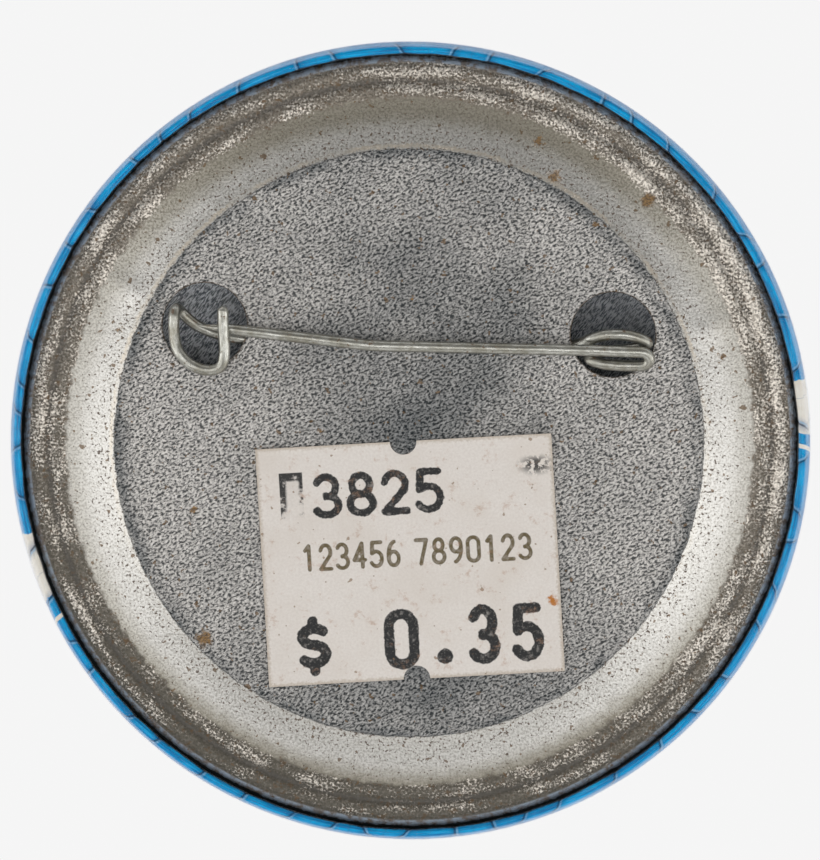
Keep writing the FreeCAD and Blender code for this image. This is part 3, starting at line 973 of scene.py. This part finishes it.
def paper_material():
    """Blue print with a slanting white stripe and a thin white line under it."""
    g = Graph("printed_paper")
    px, py, run, crease = g.read("print_x", "print_y", "skin_run", "crease_mm")
    flat = g.point(px, py)
    streak = g.noise(g.round_badge(flat, run, 9.0, 7.0), 1.0, 3.0, 0.6)
    wander = g.swing(g.noise(flat, 1.4, 3.0, 0.6), 0.5)

    # the stripe's two edges and the thin line, each a slope and a height at the middle
    shaky = g.plus(py, wander)
    above = g.minus(shaky, g.math("MULTIPLY_ADD", px, 0.2025, -1.15))
    below = g.minus(g.math("MULTIPLY_ADD", px, 0.2224, -6.07), shaky)
    line_gap = g.minus(py, g.math("MULTIPLY_ADD", px, 0.234, -7.51))
    stripe = g.times(g.less(g.smooth(above, -0.04, 0.04)), g.less(g.smooth(below, -0.04, 0.04)))
    stripe = g.most(stripe, g.band(line_gap, 0.0, 0.15, 0.05))

    on_rim = g.smooth(run, FOLD_RUN - 1.2, FOLD_RUN - 0.2)
    mottle = g.noise(g.moved(flat, 8.0, 21.0), 0.55, 6.0, 0.65)
    # painted shade: dark navy on the inner side of the fold, with a ragged edge
    tuck_shade = g.smooth(g.plus(run, g.times(wander, 1.3)),
                      FOLD_RUN + 0.50, FOLD_RUN + 0.78, 0.0, 0.85)
    blue = g.coated(
        (0.0, 0.195, 0.475),
        (g.times(g.smooth(streak, 0.32, 0.66), on_rim), (0.0, 0.440, 0.840)),
        (tuck_shade, (0.0, 0.032, 0.065)),
        (g.smooth(mottle, 0.32, 0.62, 0.30, 0.0), (0.010, 0.125, 0.330)))
    white = g.coated(
        (0.78, 0.74, 0.66),
        (g.smooth(streak, 0.3, 0.7), (0.84, 0.82, 0.76)),
        (g.smooth(mottle, 0.42, 0.70, 0.0, 0.55), (0.66, 0.57, 0.42)))
    foxing = g.smooth(g.noise(g.moved(flat, -30.0, 5.0), 1.1, 3.0, 0.6), 0.70, 0.74)
    rubbed = g.times(g.smooth(run, 25.5, 29.0), g.less(on_rim), g.smooth(mottle, 0.52, 0.60))
    # painted shade darkens the blue near each crease and in a thin line along it; the pale line
    # beside it is a painted highlight
    away = g.size(crease)
    crease_shade = g.times(g.less(g.smooth(away, 0.0, 0.75)), on_rim)
    crease_shadow_line = g.times(g.less(g.smooth(away, 0.04, 0.13)), on_rim)
    crease_highlight = g.times(g.band(crease, 0.18, 0.04, 0.08), on_rim, g.smooth(streak, 0.35, 0.55, 0.3, 1.0))
    ink = g.coated(
        blue,
        (stripe, white),
        (g.times(foxing, 0.45), (0.22, 0.15, 0.08)),
        (g.times(rubbed, 0.40), (0.36, 0.52, 0.66)),
        (g.times(crease_shade, 0.42), (0.0, 0.075, 0.24)),
        (g.times(crease_shadow_line, 0.75), (0.003, 0.035, 0.09)),
        (g.times(crease_highlight, 0.70), (0.24, 0.46, 0.66)))
    relief = g.bump(g.times(streak, on_rim, 0.04), 0.8)
    return g.surface(ink, 0.65, Specular_IOR_Level=0.08, Normal=relief)


def film_material():
    """A clear coat that mirrors more at a slant, with faint lengthwise drag lines and scratches."""
    g = Graph("clear_film")
    px, py, run = g.read("print_x", "print_y", "skin_run")
    flat = g.point(px, py)
    streak = g.noise(g.round_badge(flat, run, 12.0, 5.0), 1.0, 3.0, 0.55)
    on_rim = g.smooth(run, FOLD_RUN - 1.4, FOLD_RUN)
    lines = []
    for turn, shift in ((18, 5.0), (-37, 40.0), (66, 90.0), (-80, 140.0)):
        line = g.moved(g.stretched(flat, turn, (0.10, 7.0, 1.0)), shift, shift)
        lines.append(g.smooth(g.noise(line, 1.0, 2.0, 0.5), 0.685, 0.705))
    scratches = g.most(*lines)
    relief = g.plus(g.times(streak, on_rim, 0.035), g.times(scratches, -0.006))
    normal = g.bump(relief, 0.7)
    facing = g.add("LayerWeight", {"Blend": 0.5, "Normal": normal}).outputs["Facing"]
    share = g.math("MULTIPLY_ADD", g.math("POWER", facing, 2.8), 0.40, 0.008)
    share = g.plus(share, g.times(scratches, 0.055))
    rough = g.plus(g.smooth(on_rim, 0.0, 1.0, 0.06, 0.20), g.times(scratches, 0.25))
    gloss = g.add("BsdfGlossy", {"Color": (0.95, 0.96, 1.0), "Roughness": rough, "Normal": normal})
    clear = g.add("BsdfTransparent", {"Color": (0.985, 0.985, 0.985)})
    both = g.add("MixShader", {0: share, 1: clear.outputs[0], 2: gloss.outputs[0]})
    return g.finish(both)


def wire_material():
    """Tarnished plated steel with lengthwise drawing marks and brown specks."""
    g = Graph("pin_wire")
    along, cx, cy = g.read("along", "ring_x", "ring_y")
    marks = g.point(along, g.times(cx, 1.3), g.times(cy, 1.3))
    body = g.point(along, g.times(cx, 0.4), g.times(cy, 0.4))
    streak = g.noise(marks, 1.9, 4.0, 0.62)
    cloud = g.noise(body, 0.9, 4.0, 0.6)
    spots = g.smooth(g.noise(body, 2.6, 2.0, 0.5), 0.66, 0.70)
    colour = g.coated(
        (0.33, 0.325, 0.285),
        (g.smooth(streak, 0.36, 0.64), (0.55, 0.545, 0.500)),
        (g.smooth(cloud, 0.42, 0.70, 0.0, 0.70), (0.24, 0.222, 0.172)),
        (g.times(spots, 0.85), (0.13, 0.080, 0.045)))
    rough = g.plus(g.smooth(streak, 0.3, 0.7, 0.34, 0.24), g.times(spots, 0.2))
    metallic = g.smooth(spots, 0.0, 1.0, 0.86, 0.3)
    relief = g.bump(g.times(streak, 0.014), 0.6)
    return g.surface(colour, rough, Metallic=metallic, Normal=relief)


def label_material():
    g = Graph("label_paper")
    lx, ly, edge, ink, brown_ink = g.read("label_x", "label_y", "edge_mm", "ink_black", "ink_brown")
    flat = g.point(lx, ly)
    fibre = g.noise(flat, 5.5, 4.0, 0.6)
    cloud = g.noise(flat, 0.22, 4.0, 0.55)
    edge = g.plus(edge, g.swing(fibre, 0.5))
    blotch = g.noise(g.moved(flat, 5.0, 60.0), 2.6, 3.0, 0.6)
    faint = g.noise(g.moved(flat, 70.0, 5.0), 1.1, 3.0, 0.6)
    ragged = g.swing(blotch, 0.26)
    black = g.less(g.smooth(g.plus(ink, ragged), -0.03, 0.05))
    black = g.times(black, g.smooth(g.plus(blotch, g.times(faint, 0.6)), 0.44, 0.78, 0.55, 0.97))
    block = g.times(g.band(lx, -8.15, 0.80, 0.06), g.band(ly, 5.05, 1.60, 0.06))
    hollow = g.times(g.band(g.plus(lx, ragged), -8.05, 0.36, 0.22),
                     g.less(g.smooth(g.plus(ly, ragged), 6.00, 6.20)))
    worn_away = g.plus(blotch, g.times(ly, 0.11), g.times(lx, -0.09))
    block = g.times(block, g.less(g.times(hollow, 0.93)),
                    g.smooth(worn_away, 1.60, 1.86, 0.05, 0.95))
    smudge_gap = g.distance(g.stretched(flat, 0, (0.8, 1.4, 1.0)), 7.45, 8.85)
    smudge = g.times(g.less(g.smooth(smudge_gap, 0.3, 1.3)), g.smooth(blotch, 0.44, 0.52))
    black = g.most(black, block, g.times(smudge, 0.9))
    black = g.times(black, g.smooth(fibre, 0.30, 0.46, 0.84, 1.0))
    brown = g.less(g.smooth(g.plus(brown_ink, g.times(ragged, 0.35)), -0.02, 0.04))
    brown = g.times(brown, g.smooth(blotch, 0.30, 0.60, 0.72, 0.95))

    stain_gap = g.plus(g.distance(flat, 10.0, -3.4), g.swing(blotch, 1.1))
    flecks = g.smooth(g.noise(g.moved(flat, -40.0, 12.0), 1.7, 2.0, 0.5), 0.70, 0.73)
    grime = g.smooth(g.noise(g.moved(flat, 12.0, -33.0), 0.8, 7.0, 0.78), 0.545, 0.68)
    colour = g.coated(
        (0.700, 0.650, 0.605),
        (g.smooth(fibre, 0.32, 0.68), (0.765, 0.720, 0.675)),
        (g.smooth(cloud, 0.38, 0.72, 0.0, 0.55), (0.660, 0.600, 0.540)),
        (g.smooth(edge, 0.02, 0.34, 0.55, 0.0), (0.42, 0.34, 0.25)),
        (black, (0.014, 0.016, 0.018)),
        (brown, (0.110, 0.082, 0.034)),
        (g.smooth(stain_gap, 0.16, 0.46, 0.95, 0.0), (0.45, 0.155, 0.012)),
        (g.times(flecks, 0.7), (0.24, 0.15, 0.08)),
        (g.times(grime, 0.55), (0.43, 0.26, 0.17)))
    relief = g.bump(g.plus(g.times(fibre, 0.012), g.times(black, -0.006)), 0.8)
    return g.surface(colour, 0.80, Specular_IOR_Level=0.15, Normal=relief)


def glue_material():
    g = Graph("old_glue")
    cloud = g.noise(g.place(), 1.2, 3.0, 0.5)
    colour = g.mix(g.smooth(cloud, 0.3, 0.7), (0.50, 0.40, 0.26), (0.62, 0.54, 0.40))
    return g.surface(colour, 0.35)


# ---- the stage ----

BACKGROUND = 0.915
FLOOR_HALF = 0.6
FLOOR_HEIGHT = -0.0002


def build_stage():
    g = Graph("pale_floor")
    glow = g.add("Emission", {"Color": (1.0, 1.0, 1.0), "Strength": BACKGROUND})
    from_below = g.add("NewGeometry").outputs["Backfacing"]
    clear = g.add("BsdfTransparent", {"Color": (1.0, 1.0, 1.0)})
    seen = {0: from_below, 1: glow.outputs[0], 2: clear.outputs[0]}
    material = g.finish(g.add("MixShader", seen))
    corners = np.array([(-1, -1, 0), (1, -1, 0), (1, 1, 0), (-1, 1, 0)]) * FLOOR_HALF
    mesh = bpy.data.meshes.new("floor")
    mesh.from_pydata(corners.tolist(), [], [(0, 1, 2, 3)])
    mesh.materials.append(material)
    floor = placed("floor", mesh)
    floor.location.z = FLOOR_HEIGHT

    g = Graph("studio", bpy.data.worlds)
    bpy.context.scene.world = g.material
    height = g.parts(g.add("TexCoord").outputs["Generated"])["Z"]
    ramp = g.add("ValToRGB", {0: height})
    steps = ramp.color_ramp.elements
    steps[0].position, steps[1].position = 0.10, 0.95
    steps.new(0.55)
    for step, colour in zip(steps, ((0.90, 0.90, 0.90), (0.30, 0.295, 0.28), (0.13, 0.13, 0.135))):
        step.color = (*colour, 1)
    sky = g.add("Background", {"Color": ramp.outputs[0]})
    g.add("OutputWorld", {"Surface": sky.outputs[0]})


def panel(name, place, size, radiance):
    """A soft rectangular light that faces the badge."""
    light = bpy.data.lights.new(name, "AREA")
    light.shape = "RECTANGLE"
    light.size, light.size_y = size
    light.energy = radiance * math.pi * size[0] * size[1]
    obj = placed(name, light)
    obj.location = place
    obj.rotation_euler = (-Vector(place)).to_track_quat("-Z", "Y").to_euler()


CAMERA_TILT = (math.tan(math.radians(2.3)), math.tan(math.radians(4.4)))
CAMERA_DISTANCE = 0.60
CAMERA_LENS = 352.5
AIM = Vector((0.014, 0.830, 4.36)) * MM


def build_camera():
    back = Vector((*CAMERA_TILT, 1.0)).normalized()
    up = (Vector((0, 1, 0)) - back * back.y).normalized()
    across = up.cross(back)
    data = bpy.data.cameras.new("camera")
    data.lens = CAMERA_LENS
    data.sensor_width = 36
    data.clip_start, data.clip_end = 0.01, 20
    camera = placed("camera", data)
    turn = Matrix((across, up, back)).transposed().to_4x4()
    camera.matrix_world = Matrix.Translation(AIM + back * CAMERA_DISTANCE) @ turn
    bpy.context.scene.camera = camera


def main():
    rim = RimShape()
    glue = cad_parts["label_adhesive"]
    paint = [
        ([back_plate()], plate_material()),
        ([shell_object()], shell_material()),
        ([skin_object("rim_paper", rim, *PAPER, "printed_paper", "printed_paper")],
         paper_material()),
        ([skin_object("rim_film", rim, *FILM, "film", "clear_film")], film_material()),
        (pin_pieces(), wire_material()),
        ([price_label()], label_material()),
        ([glue], glue_material()),
    ]
    for objects, material in paint:
        for obj in objects:
            obj.data.materials.clear()
            obj.data.materials.append(material)

    build_stage()
    panel("left_light", (-0.52, -0.09, 0.54), (0.62, 1.70), 1.26)
    panel("right_light", (0.52, -0.22, 0.54), (0.60, 1.50), 1.36)
    panel("low_light", (0.0, -0.62, 0.50), (0.60, 0.40), 0.55)
    build_camera()
    bpy.context.scene.view_settings.view_transform = "Standard"


main()
